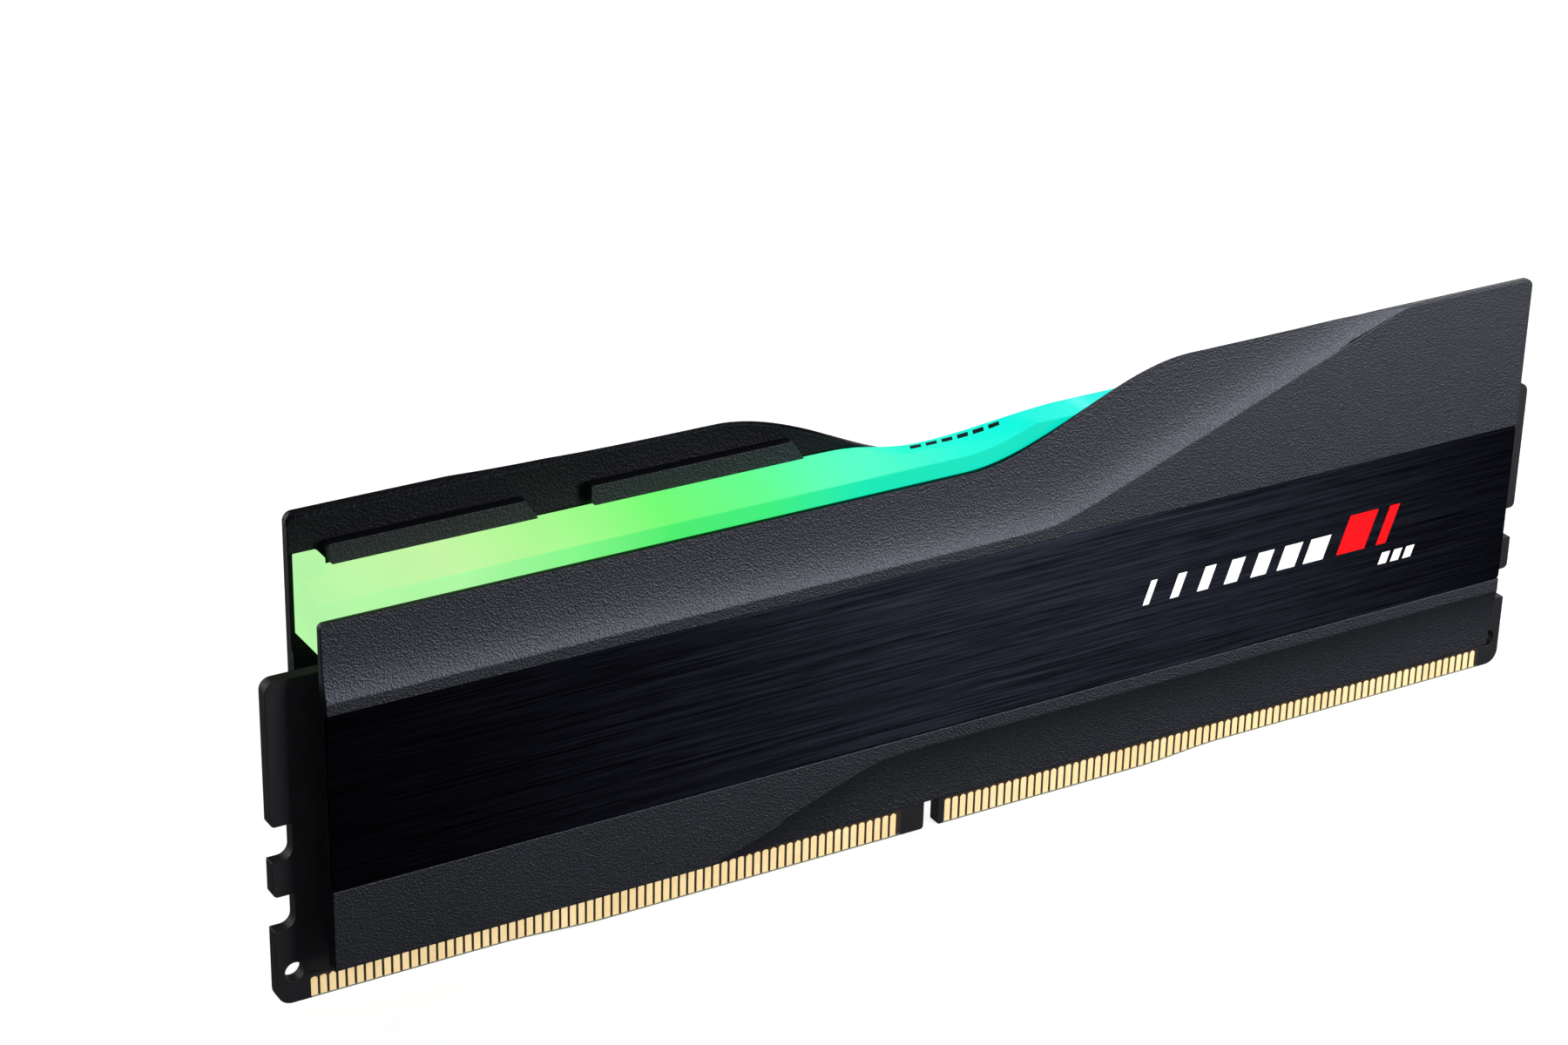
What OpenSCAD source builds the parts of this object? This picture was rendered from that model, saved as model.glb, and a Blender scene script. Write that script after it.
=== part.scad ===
// Desktop memory module with a two-piece heat spreader and a light bar.
// X runs along the module, Y through its thickness and Z up from the card edge.
// The origin is the middle of the card edge, on the board's mid-plane.

/* [Circuit board] */
// Length of the board
board_len = 133.35; // [133.2:0.05:133.5]
// Height of the board
board_h = 31.25; // [31.1:0.05:31.4]
// Thickness of the board
board_t = 1.27; // [1.17:0.01:1.37]
// Height of the outer stretches of the card edge above its middle
edge_step = 0.5; // [0.3:0.05:0.7]
// Radius of the board's top corners
top_corner_r = 1.0; // [0.5:0.1:1.5]
// Radius of the board's bottom corners
bottom_corner_r = 1.4; // [1:0.1:1.8]
// Centre of the key notch along the board
key_x = -1.37; // [-1.45:0.01:-1.3]
// Width of the key notch
key_w = 1.5; // [1.3:0.05:1.6]
// Height of the key notch
key_h = 4.0; // [3.5:0.1:4.5]
// Depth of the latch notches in the board's ends
latch_depth = 1.93; // [1.8:0.01:2]
// Diameter of the two alignment holes
hole_d = 1.8; // [1.6:0.1:2]
// Distance of an alignment hole from the middle of the board
hole_x = 65.0; // [64.9:0.05:65.1]
// Height of the alignment holes above the card edge
hole_z = 3.5; // [3.4:0.05:3.6]

/* [Contacts] */
// Pitch of the contacts
contact_pitch = 0.85; // [0.84:0.01:0.86]
// Width of one contact
contact_w = 0.62; // [0.55:0.01:0.68]
// Height of the contacts' top ends
contact_top = 2.55; // [2.4:0.05:2.7]
// Clearance between a contact and the card edge
contact_clear = 0.2; // [0.15:0.05:0.3]
// Thickness of the gold plating
contact_t = 0.04; // [0.03:0.01:0.06]
// Contacts on the longer group
long_group = 75; // [70:1:75]
// Contacts on the shorter group
short_group = 69; // [64:1:69]

/* [Heat spreader] */
// Length of each spreader
spreader_len = 125.4; // [124:0.2:126]
// Distance of the outer face from the mid-plane
spreader_out = 3.85; // [3.75:0.05:3.95]
// Distance of the inner face from the mid-plane, beside the board
spreader_in = 2.45; // [2.45:0.05:2.5]
// Distance of the inner face from the mid-plane, above the board on the high side
high_in = 2.85; // [2.8:0.01:2.9]
// Height of the spreader's lower edge
spreader_bottom = 4.55; // [4.4:0.05:4.8]
// Height of the top edge on the low side, beside the light bar
low_top = 36.75; // [36.5:0.05:37]
// Height of the top edge on the high side
high_top = 44; // [43.8:0.05:44.2]
// Height of the upper crease along its level stretch
upper_crease = 29.85; // [29.6:0.05:30]
// Height of the lower crease along its level stretch
lower_crease = 10.85; // [10.6:0.05:11]
// Slope of the two creases, in degrees
crease_slope = 20; // [19:0.5:21]
// Depth of the hollow above the upper crease
upper_hollow = 0.8; // [0.7:0.01:0.85]
// Depth of the hollow below the lower crease
lower_hollow = 0.68; // [0.6:0.01:0.8]

/* [Brushed panel] */
// Height of the panel's lower edge
panel_bottom = 12.2; // [12:0.05:12.4]
// Height of the panel's upper edge
panel_top = 28.7; // [28.5:0.05:28.9]
// Depth of the channel that holds the panel
channel_depth = 0.5; // [0.45:0.01:0.55]
// Thickness of the panel
panel_t = 0.45; // [0.4:0.01:0.45]

/* [Light bar] */
// Half of the bar's thickness, beside a low side
bar_half = 2.35; // [2.3:0.05:2.35]
// Half of the bar's thickness, beside a high side
bar_wide = 2.75; // [2.7:0.01:2.75]
// Height of the bar's underside
bar_bottom = 33.4; // [33:0.1:33.8]
// Half of the bar's length
bar_end = 62.4; // [62:0.1:62.6]

/* [Components] */
// Width of a memory chip
chip_w = 9; // [8:0.5:10]
// Height of a memory chip on the board
chip_h = 11; // [10:0.5:11.5]
// Thickness of a memory chip
chip_t = 1.1; // [1:0.05:1.2]
// Spacing of the memory chips
chip_pitch = 13; // [12:0.1:13]
// Distance of the innermost chips from the middle
chip_first = 17; // [16.5:0.1:17.5]

/* [Hidden] */
$fn = 48;

half_len = board_len / 2;
face_y = board_t / 2;
spreader_half = spreader_len / 2;

// A smooth step from 0 to 1 while t goes from 0 to 1.
function ease(t) = let (u = max(0, min(1, t))) u * u * (3 - 2 * u);

// A bend that is 0 below u = 0 and follows u above it, rounded over about r.
function bend(u, r) = (u + sqrt(u * u + r * r)) / 2;

// Points of an arc, end points included.
function arc(cx, cz, r, a0, a1, n = 6) =
    [for (i = [0:n]) let (a = a0 + (a1 - a0) * i / n) [cx + r * cos(a), cz + r * sin(a)]];

// ---------------------------------------------------------------- board

// Stretches of the card edge that blend from its middle to its raised ends.
left_blend = [-35, -46];
right_blend = [22, 32];
function card_edge(x) = edge_step * (
    ease((x - left_blend[0]) / (left_blend[1] - left_blend[0]))
    + ease((x - right_blend[0]) / (right_blend[1] - right_blend[0])));

// Latch notches: [lower edge, upper edge] of each, and their two radii.
latch_notches = [[7.85, 11.1], [14.5, 17.8]];
latch_inner_r = 1.0;
latch_lip_r = 0.5;

// One latch notch in the right-hand end, from its lower edge to its upper edge.
function latch(n) = let (wall = half_len - latch_depth)
    concat(
        [[half_len, n[0]]],
        arc(wall + latch_inner_r, n[0] + latch_inner_r, latch_inner_r, 270, 180),
        [[wall, n[1]]],
        arc(half_len - latch_lip_r, n[1] + latch_lip_r, latch_lip_r, 270, 360));

// The right-hand end, from the bottom corner up to the top corner.
right_end = concat(
    arc(half_len - bottom_corner_r, edge_step + bottom_corner_r, bottom_corner_r, 270, 360),
    latch(latch_notches[0]),
    latch(latch_notches[1]),
    arc(half_len - top_corner_r, board_h - top_corner_r, top_corner_r, 0, 90));
left_end = [for (i = [len(right_end) - 1:-1:0]) [-right_end[i][0], right_end[i][1]]];

// The key notch: rounded at its mouth and its top.
key_mouth_r = 0.3;
key_outline = concat(
    arc(key_x - key_w / 2 - key_mouth_r, key_mouth_r, key_mouth_r, 270, 360, 4),
    arc(key_x, key_h - key_w / 2, key_w / 2, 180, 0, 10),
    arc(key_x + key_w / 2 + key_mouth_r, key_mouth_r, key_mouth_r, 180, 270, 4));

blend_steps = 8;
left_edge_blend = [for (i = [0:blend_steps])
    let (x = left_blend[1] + (left_blend[0] - left_blend[1]) * i / blend_steps) [x, card_edge(x)]];
right_edge_blend = [for (i = [0:blend_steps])
    let (x = right_blend[0] + (right_blend[1] - right_blend[0]) * i / blend_steps) [x, card_edge(x)]];
board_outline = concat(left_edge_blend, key_outline, right_edge_blend, right_end, left_end);

// Stands a flat shape drawn in X and Z upright, from y0 to y1.
module upright(y0, y1) {
    translate([0, y1, 0])
        rotate([90, 0, 0])
            linear_extrude(height = y1 - y0)
                children();
}

module circuit_board() {
    color([0.07, 0.08, 0.10])
        difference() {
            upright(-face_y, face_y)
                polygon(board_outline);
            for (side = [-1, 1])
                translate([side * hole_x, 0, hole_z])
                    rotate([90, 0, 0])
                        cylinder(h = board_t + 2, d = hole_d, center = true);
        }
}

// ---------------------------------------------------------------- contacts

long_start = contact_pitch / 2;
short_start = -63.325;
contact_x = concat(
    [for (i = [0:short_group - 1]) short_start + i * contact_pitch],
    [for (i = [0:long_group - 1]) long_start + i * contact_pitch]);
// Height of a contact's shaped end.
contact_tip = 0.2;

// One contact: every third has a pointed end, the others a rounded one.
module contact(x, pointed) {
    shoulder = contact_top - contact_tip;
    foot = card_edge(x) + contact_clear;
    inset = pointed ? contact_w / 2 - 0.02 : contact_w / 5;
    polygon([
        [x - contact_w / 2, foot],
        [x + contact_w / 2, foot],
        [x + contact_w / 2, shoulder],
        [x + contact_w / 2 - inset, contact_top],
        [x - contact_w / 2 + inset, contact_top],
        [x - contact_w / 2, shoulder]]);
}

module contact_row(y0, y1) {
    color([0.90, 0.76, 0.48])
        for (i = [0:len(contact_x) - 1])
            upright(y0, y1)
                contact(contact_x[i], i % 3 == 2);
}

module front_contacts() {
    contact_row(-face_y - contact_t, -face_y);
}

module rear_contacts() {
    contact_row(face_y, face_y + contact_t);
}

// ---------------------------------------------------------------- components

// A box on the rear face of the board, centred on x, with its lower edge at z.
module on_rear(x, z, w, h, t) {
    translate([x - w / 2, face_y, z])
        cube([w, t, h]);
}

// A box on the front face of the board.
module on_front(x, z, w, h, t) {
    translate([x - w / 2, -face_y - t, z])
        cube([w, t, h]);
}

chip_bottom = 12;
chip_x = concat(
    [for (i = [3:-1:0]) -chip_first - i * chip_pitch],
    [for (i = [0:3]) chip_first + i * chip_pitch]);

module memory_chip(i) {
    color([0.13, 0.13, 0.14])
        on_rear(chip_x[i - 1], chip_bottom, chip_w, chip_h, chip_t);
}

// Power parts stand in the gap between the two groups of memory chips.
power_chip_size = 5;
power_chip_t = 0.9;
power_chip_z = 18.5;
inductor_size = 4;
inductor_t = 1.2;
inductors = [[-6.6, 19], [6.6, 19], [0, 25]];
power_capacitors_at = [[-10.4, 19], [-10.4, 22], [10.4, 19], [10.4, 22], [-4, 26], [4, 26]];

module power_management_chip() {
    color([0.15, 0.15, 0.16])
        on_rear(0, power_chip_z, power_chip_size, power_chip_size, power_chip_t);
}

module power_inductors() {
    color([0.30, 0.30, 0.31])
        for (p = inductors)
            on_rear(p[0], p[1], inductor_size, inductor_size, inductor_t);
}

module power_capacitors() {
    color([0.62, 0.50, 0.38])
        for (p = power_capacitors_at)
            on_rear(p[0], p[1], 1.25, 2, 1.25);
}

module presence_detect_hub() {
    color([0.15, 0.15, 0.16])
        on_rear(6.5, 12.5, 2, 3, 0.8);
}

module lighting_controller() {
    color([0.15, 0.15, 0.16])
        on_rear(-6, 12.3, 4, 4, 0.85);
}

led_count = 10;
led_pitch = 12;

module lighting_leds() {
    color([0.95, 0.95, 0.90])
        for (i = [0:led_count - 1])
            on_rear((i - (led_count - 1) / 2) * led_pitch, 29.6, 3, 1.5, 1);
}

// Small capacitors below and above each chip, and a row on the front face.
module decoupling_capacitors() {
    color([0.62, 0.50, 0.38]) {
        for (x = chip_x)
            for (dx = [-3, 3])
                for (z = [10.4, 24.4])
                    on_rear(x + dx, z, 1, 0.5, 0.5);
        for (x = chip_x)
            for (z = [9.6, 27.2])
                on_front(x, z, 1, 0.5, 0.5);
    }
}

module resistor_arrays() {
    color([0.10, 0.10, 0.11])
        for (x = chip_x)
            for (dx = [-2.4, 2.4])
                on_rear(x + dx, 7, 2, 1, 0.45);
}

// ---------------------------------------------------------------- thermal pads

pad_margin = 1;
pad_inner_x = chip_first - chip_w / 2 - pad_margin;
pad_outer_x = chip_first + 3 * chip_pitch + chip_w / 2 - pad_margin;

module rear_pad(x0, x1, z0, z1, part_t) {
    translate([x0, face_y + part_t, z0])
        cube([x1 - x0, spreader_in - face_y - part_t, z1 - z0]);
}

module left_memory_thermal_pad() {
    color([0.55, 0.62, 0.70])
        rear_pad(-pad_outer_x, -pad_inner_x, chip_bottom - 0.5, chip_bottom + chip_h + 0.5, chip_t);
}

module right_memory_thermal_pad() {
    color([0.55, 0.62, 0.70])
        rear_pad(pad_inner_x, pad_outer_x, chip_bottom - 0.5, chip_bottom + chip_h + 0.5, chip_t);
}

module power_chip_thermal_pad() {
    color([0.55, 0.62, 0.70])
        rear_pad(-2, 2, power_chip_z + 0.5, power_chip_z + power_chip_size - 0.5, power_chip_t);
}

module front_thermal_pad() {
    color([0.45, 0.47, 0.50])
        translate([-58, -spreader_in, 11])
            cube([116, spreader_in - face_y, 15]);
}

// ---------------------------------------------------------------- heat spreader

// The top edge climbs from the low side to the high side over this stretch.
climb = [-0.5, 23];
// Where the sloping stretches of the two creases leave their level stretches.
upper_turn = 9;
lower_turn = -9.3;
turn_r = 0.6;
// Radii of the two top corners, and the narrow edge break kept on every edge.
high_corner_r = 0.8;
low_corner_r = 0.5;
edge_break = 0.12;
// How quickly each hollow falls away from its crease.
upper_fall = 1.9;
lower_fall = 2.7;
hollow_rows = 7;

// How far a place along the spreader has passed from the low side to the high side.
function passed(x) = ease((x - climb[0]) / (climb[1] - climb[0]));
function corner_drop(d, r) = d >= r ? 0 : r - sqrt(max(0, r * r - (r - d) * (r - d)));
function top_edge(x) =
    low_top + (high_top - low_top) * passed(x)
    - corner_drop(spreader_half - x, high_corner_r)
    - corner_drop(spreader_half + x, low_corner_r);
function upper_line(x) = min(
    top_edge(x) - edge_break,
    upper_crease + bend((x - upper_turn) * tan(crease_slope), turn_r));
function lower_line(x) = max(
    spreader_bottom + edge_break,
    lower_crease - bend((lower_turn - x) * tan(crease_slope), turn_r));
function fall(d, depth, reach) = depth * (1 - exp(-d / reach));

// Inner face above the board, and the chamfer along its top.
inner_step = [31.6, 32];
chamfer_in = 0.35;
chamfer_low = 0.15;
chamfer_high = 0.45;
function inner(x) = spreader_in + (high_in - spreader_in) * passed(x);
function chamfer(x) = chamfer_low + (chamfer_high - chamfer_low) * passed(x);

// Height of the top edge where the spreader is still w thick, counted from its inner face.
function rim(x, w) = top_edge(x) - chamfer(x) * max(0, 1 - w / chamfer_in);

// One slice across the front spreader: [y, z] points, outer face first.
function slice(x) = let (
        up = upper_line(x),
        down = lower_line(x),
        floor_y = spreader_out - channel_depth,
        thick = spreader_out - fall(top_edge(x) - up, upper_hollow, upper_fall) - inner(x),
        top = rim(x, thick),
        facet = min(chamfer_in, 0.6 * thick))
    concat(
        [[-spreader_in, spreader_bottom]],
        [for (i = [hollow_rows:-1:1])
            let (d = (down - spreader_bottom) * pow(i / hollow_rows, 1.4))
            [-spreader_out + fall(d, lower_hollow, lower_fall), down - d]],
        [[-spreader_out, down],
         [-spreader_out, panel_bottom], [-floor_y, panel_bottom],
         [-floor_y, panel_top], [-spreader_out, panel_top],
         [-spreader_out, up]],
        [for (i = [1:hollow_rows])
            let (d = (top - up) * pow(i / hollow_rows, 1.4))
            [-spreader_out + fall(d, upper_hollow, upper_fall), up + d]],
        [[-inner(x) - facet, rim(x, facet)],
         [-inner(x), rim(x, 0)],
         [-inner(x), inner_step[1]],
         [-spreader_in, inner_step[0]]]);

// Slices stand closer together where the edges and creases turn.
slice_step = 1.25;
corner_steps = [0, 0.07, 0.25, 0.5, 0.8];
slice_x = concat(
    [for (c = corner_steps) -spreader_half + c],
    [for (x = [-27:slice_step:49.3]) x],
    [for (i = [len(corner_steps) - 1:-1:0]) spreader_half - corner_steps[i]]);

// Joins slices, each a closed ring of the same number of points, into a solid.
module loft(xs, rings) {
    n = len(rings[0]);
    m = len(xs);
    points = [for (i = [0:m - 1]) for (p = rings[i]) [xs[i], p[0], p[1]]];
    sides = [for (i = [0:m - 2]) for (j = [0:n - 1])
        let (a = i * n + j, b = i * n + (j + 1) % n, c = b + n, d = a + n)
        each [[a, b, c], [a, c, d]]];
    polyhedron(
        points = points,
        faces = concat(
            [[for (j = [n - 1:-1:0]) j]],
            sides,
            [[for (j = [0:n - 1]) (m - 1) * n + j]]),
        convexity = 10);
}

// Ribs on the inner face of the high side keep the light bar down.
ribs = [[14.6, 35.5], [40.5, 59.6]];
rib_depth = 1.1;
rib_bottom = 39.3;
rib_top = 41.2;
rib_slant = 1.2;

module rib(span) {
    upright(-high_in, -high_in + rib_depth)
        polygon([
            [span[0], rib_bottom],
            [span[1], rib_bottom],
            [span[1], rib_top],
            [span[0] + rib_slant, rib_top]]);
}

module spreader() {
    color([0.20, 0.20, 0.23])
        union() {
            loft(slice_x, [for (x = slice_x) slice(x)]);
            for (span = ribs)
                rib(span);
        }
}

module front_heat_spreader() {
    spreader();
}

module rear_heat_spreader() {
    rotate([0, 0, 180])
        spreader();
}

// ---------------------------------------------------------------- brushed panel

panel_gap = 0.05;
panel_corner_r = 0.35;
panel_floor = spreader_out - channel_depth;
panel_z0 = panel_bottom + panel_gap;
panel_z1 = panel_top - panel_gap;
panel_outline = concat(
    arc(-spreader_half + panel_corner_r, panel_z0 + panel_corner_r, panel_corner_r, 180, 270),
    arc(spreader_half - panel_corner_r, panel_z0 + panel_corner_r, panel_corner_r, 270, 360),
    arc(spreader_half - panel_corner_r, panel_z1 - panel_corner_r, panel_corner_r, 0, 90),
    arc(-spreader_half + panel_corner_r, panel_z1 - panel_corner_r, panel_corner_r, 90, 180));

module front_brushed_panel() {
    color([0.06, 0.07, 0.10])
        upright(-panel_floor - panel_t, -panel_floor)
            polygon(panel_outline);
}

module rear_brushed_panel() {
    color([0.06, 0.07, 0.10])
        upright(panel_floor, panel_floor + panel_t)
            polygon(panel_outline);
}

label_t = 0.05;

module rear_label() {
    color([0.80, 0.81, 0.83])
        translate([-52, panel_floor + panel_t, 14.5])
            cube([38, label_t, 11]);
}

// ---------------------------------------------------------------- light bar

// The bar's front bevel follows the front spreader's top edge and its rear bevel the rear one's.
bevel_in = 0.25;
bevel_height = 1.35;
// Heights of the two ridges where each is lowest, and how high the front one climbs.
front_ridge = 38.05;
rear_ridge = 39.25;
front_limit = 39.8;
// Both ridges stay this high under the ribs.
under_rib = 39.25;
rib_start = [13, 14.5];
// The scoop at the middle of the rear edge.
scoop_in = [-11.5, -3];
scoop_out = [-2.5, 13];
scoop_depth = 1;
// Raised blocks at the two ends, beside the high spreaders.
block_len = 2.3;
block_depth = 1.6;
block_top = 40.6;

function between(x, span) = ease((x - span[0]) / (span[1] - span[0]));
function front_bevel(x) = min(
    front_limit + (under_rib - front_limit) * between(x, rib_start),
    max(front_ridge, top_edge(x) + bevel_height - 0.05));
function rear_bevel(x) = rear_ridge
    - scoop_depth * (between(x, scoop_in) - between(x, scoop_out));
function bar_side(x) = bar_half + (bar_wide - bar_half) * passed(x);

function bar_slice(x) = let (front = bar_side(x), rear = bar_side(-x)) [
    [-front, bar_bottom],
    [-front, front_bevel(x) - bevel_height],
    [-front + bevel_in, front_bevel(x)],
    [rear - bevel_in, rear_bevel(x)],
    [rear, rear_bevel(x) - bevel_height],
    [rear, bar_bottom]];

bar_step = 2;
bar_x = concat([-bar_end], [for (x = [-24:bar_step:24]) x], [bar_end]);

module end_block() {
    translate([-bar_end, bar_wide - block_depth, rear_ridge - 2])
        cube([block_len, block_depth, block_top - rear_ridge + 2]);
}

module light_bar() {
    color([0.35, 0.95, 0.62])
        union() {
            loft(bar_x, [for (x = bar_x) bar_slice(x)]);
            end_block();
            rotate([0, 0, 180])
                end_block();
        }
}

// Two strips along one side of the bar: one beside the low side and one beside the high side.
strip_h = 2;
module bar_adhesive() {
    color([0.85, 0.86, 0.84]) {
        translate([-58, -spreader_in, bar_bottom + 0.4])
            cube([58, spreader_in - bar_half, strip_h]);
        translate([24, -high_in, bar_bottom + 0.4])
            cube([34, high_in - bar_wide, strip_h]);
    }
}

module front_bar_adhesive() {
    bar_adhesive();
}

module rear_bar_adhesive() {
    rotate([0, 0, 180])
        bar_adhesive();
}

// ---------------------------------------------------------------- drawing

circuit_board();
front_contacts();
rear_contacts();
memory_chip(1);  // memory_chip_1
memory_chip(2);  // memory_chip_2
memory_chip(3);  // memory_chip_3
memory_chip(4);  // memory_chip_4
memory_chip(5);  // memory_chip_5
memory_chip(6);  // memory_chip_6
memory_chip(7);  // memory_chip_7
memory_chip(8);  // memory_chip_8
power_management_chip();
power_inductors();
power_capacitors();
presence_detect_hub();
lighting_controller();
lighting_leds();
decoupling_capacitors();
resistor_arrays();
left_memory_thermal_pad();
right_memory_thermal_pad();
power_chip_thermal_pad();
front_thermal_pad();
front_heat_spreader();
rear_heat_spreader();
front_brushed_panel();
rear_brushed_panel();
light_bar();
front_bar_adhesive();
rear_bar_adhesive();
rear_label();
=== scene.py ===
"""The looks of a desktop memory module with two stepped heat spreaders and a light bar.

Shapes are worked out in millimetres and made in metres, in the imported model's own frame:
X along the module, -Y towards the front spreader and Z up from the card edge.
"""

import math

import bmesh
import bpy
from mathutils import Matrix, Vector


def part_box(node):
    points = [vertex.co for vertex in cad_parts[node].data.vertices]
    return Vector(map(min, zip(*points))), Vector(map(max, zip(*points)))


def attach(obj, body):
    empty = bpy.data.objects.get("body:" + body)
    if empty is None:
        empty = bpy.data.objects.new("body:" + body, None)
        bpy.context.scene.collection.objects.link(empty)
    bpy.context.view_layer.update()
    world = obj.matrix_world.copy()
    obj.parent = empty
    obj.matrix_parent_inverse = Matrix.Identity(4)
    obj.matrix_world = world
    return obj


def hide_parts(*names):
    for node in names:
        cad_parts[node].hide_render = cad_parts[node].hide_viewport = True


MM = 0.001
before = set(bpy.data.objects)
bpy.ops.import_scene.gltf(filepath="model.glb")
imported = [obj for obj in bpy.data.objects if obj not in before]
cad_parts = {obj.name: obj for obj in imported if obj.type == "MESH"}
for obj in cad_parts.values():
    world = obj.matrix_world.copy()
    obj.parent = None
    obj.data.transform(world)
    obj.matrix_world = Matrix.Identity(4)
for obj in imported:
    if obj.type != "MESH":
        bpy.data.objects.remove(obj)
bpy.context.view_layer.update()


# ---------------------------------------------------------------- sizes, in millimetres

def node_box(node):
    """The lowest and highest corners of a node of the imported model, in millimetres."""
    low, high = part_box(node)
    return low / MM, high / MM


board_high = node_box("circuit_board")[1]
HALF_LENGTH = board_high.x
BOARD_TOP = board_high.z
BOARD_FACE = board_high.y
# The card edge is stepped up towards both ends, over these blends.
EDGE_STEP, LEFT_BLEND, RIGHT_BLEND = 0.5, (-35, -46), (22, 32)
KEY_X, KEY_WIDTH, KEY_TOP = -1.37, 1.5, 4.0
HOLE_X, HOLE_Z, HOLE_RADIUS = 65.0, 3.5, 0.9
LATCHES = ((7.85, 11.1), (14.5, 17.8))
LATCH_WALL = HALF_LENGTH - 1.93
# The mask stops below MASK_EDGE inside these spans, and the card edge itself is ground bare.
MASK_OPENINGS = (-63.85, -5.0, -0.1, 63.85)
MASK_EDGE, GROUND_EDGE = (2.72, 2.64), (0.24, 0.17)
MARK_HEIGHT = 0.012

spreader_low, spreader_high = node_box("front_heat_spreader")
SPREADER_END = spreader_high.x
SPREADER_OUT = -spreader_low.y
SPREADER_BOTTOM = spreader_low.z
HIGH_TOP = spreader_high.z
LOW_TOP = 36.75
# Distances of the inner face from the mid-plane, low down and beside the light bar.
INNER_LOW, INNER_HIGH = 2.45, 2.85
INNER_STEP = (31.6, 32.0)
CHAMFER_IN, CHAMFER_LOW, CHAMFER_HIGH = 0.35, 0.03, 0.45
# Between these the front spreader climbs from its low side to its high side.
CLIMB = (-0.5, 23)
CREASE_SLOPE = math.tan(math.radians(20))
# Each crease's height, where it turns, and the depth and length of the hollow beyond it.
UPPER_CREASE, UPPER_TURN, UPPER_HOLLOW, UPPER_FALL = 29.85, 9, 0.8, 1.9
LOWER_CREASE, LOWER_TURN, LOWER_HOLLOW, LOWER_FALL = 10.85, -9.3, 0.68, 2.7
TURN_RADIUS = 0.6
EDGE_BREAK = 0.12
HIGH_CORNER, LOW_CORNER = 0.8, 0.5
CHANNEL_BOTTOM, CHANNEL_TOP = 12.2, 28.7
CHANNEL_FLOOR = SPREADER_OUT - 0.5
HOLLOW_ROWS, HOLLOW_CROWDING = 10, 1.4
# The last lines of a slice, which bound its rim and its inner face; their faces take the coat copy
# with painted shade.
RIM_LINES = 5
RIBS = ((14.6, 35.5), (40.5, 59.6))
RIB_DEPTH, RIB_BOTTOM, RIB_TOP, RIB_SLANT = 1.1, 39.3, 41.2, 1.2
RIB_CUT, RIB_RISE, RIB_ROOT = 0.35, 0.45, 0.1

bar_low, bar_high = node_box("light_bar")
BAR_END = bar_high.x
BAR_BOTTOM = bar_low.z
BAR_HALF, BAR_WIDE = 2.35, 2.75
BEVEL_IN, BEVEL_HEIGHT = 0.25, 1.35
FRONT_RIDGE, REAR_RIDGE, FRONT_LIMIT, UNDER_RIB = 38.05, 39.25, 39.8, 39.25
RIB_START = (13, 14.5)
SCOOP_IN, SCOOP_OUT, SCOOP_DEPTH = (-11.5, -3), (-2.5, 13), 1.0
BLOCK_LENGTH, BLOCK_DEPTH, BLOCK_TOP, BLOCK_CHAMFER = 2.3, 1.6, 40.6, 0.25
# The crease between the bar's two top facets drops from the rear ridge to near the middle
# and then slides forward to the front ridge.
CREASE_DROP, CREASE_MIDDLE, CREASE_SLIDE = (-10.2, -5.2), -0.2, (-4, 10)
# It stays this far from both ridges, and is rounded only where it shows as a line.
CREASE_CLEAR, CREASE_SHOWS = 0.3, (-8.7, 7.5)
# The place in a slice of the bar of the facet behind the crease, which takes the diffuser copy
# painted deeper as painted shade.
SCOOPED_FACET = 3


def ease(t):
    """A smooth step from 0 to 1 while t goes from 0 to 1."""
    t = max(0.0, min(1.0, t))
    return t * t * (3 - 2 * t)


def between(x, span):
    """How far x has passed along the span, eased at both ends."""
    return ease((x - span[0]) / (span[1] - span[0]))


def bend(u, radius):
    """A bend that is 0 below u = 0 and follows u above it."""
    return (u + math.hypot(u, radius)) / 2


def arc(cx, cz, radius, start, end, steps=8):
    """Points of an arc in the XZ plane, both ends included, angles in degrees."""
    turns = [math.radians(start + (end - start) * i / steps) for i in range(steps + 1)]
    return [(cx + radius * math.cos(a), cz + radius * math.sin(a)) for a in turns]


def corner_drop(distance, radius):
    """How far a rounded corner falls below a straight top, at a distance from its end."""
    if distance >= radius:
        return 0.0
    return radius - math.sqrt(max(0.0, radius ** 2 - (radius - distance) ** 2))


def passed(x):
    """How far the front spreader has climbed from its low side to its high side."""
    return between(x, CLIMB)


def top_edge(x):
    """Height of the front spreader's top edge."""
    return (LOW_TOP + (HIGH_TOP - LOW_TOP) * passed(x)
            - corner_drop(SPREADER_END - x, HIGH_CORNER)
            - corner_drop(SPREADER_END + x, LOW_CORNER))


def upper_line(x):
    """Height of the crease above the panel."""
    rise = bend((x - UPPER_TURN) * CREASE_SLOPE, TURN_RADIUS)
    return min(top_edge(x) - EDGE_BREAK, UPPER_CREASE + rise)


def lower_line(x):
    """Height of the crease below the panel."""
    fall = bend((LOWER_TURN - x) * CREASE_SLOPE, TURN_RADIUS)
    return max(SPREADER_BOTTOM + EDGE_BREAK, LOWER_CREASE - fall)


def hollow(distance, depth, reach):
    """How far a hollow has fallen behind the outer face, at a distance from its crease."""
    return depth * (1 - math.exp(-distance / reach))


def inner_face(x):
    """Distance of the front spreader's inner face from the mid-plane, above the board."""
    return INNER_LOW + (INNER_HIGH - INNER_LOW) * passed(x)


def rim(x, thickness):
    """Height of the top edge where the spreader is that thick, counted from its inner face."""
    chamfer = CHAMFER_LOW + (CHAMFER_HIGH - CHAMFER_LOW) * passed(x)
    return top_edge(x) - chamfer * max(0.0, 1 - thickness / CHAMFER_IN)


# ---------------------------------------------------------------- materials

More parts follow.
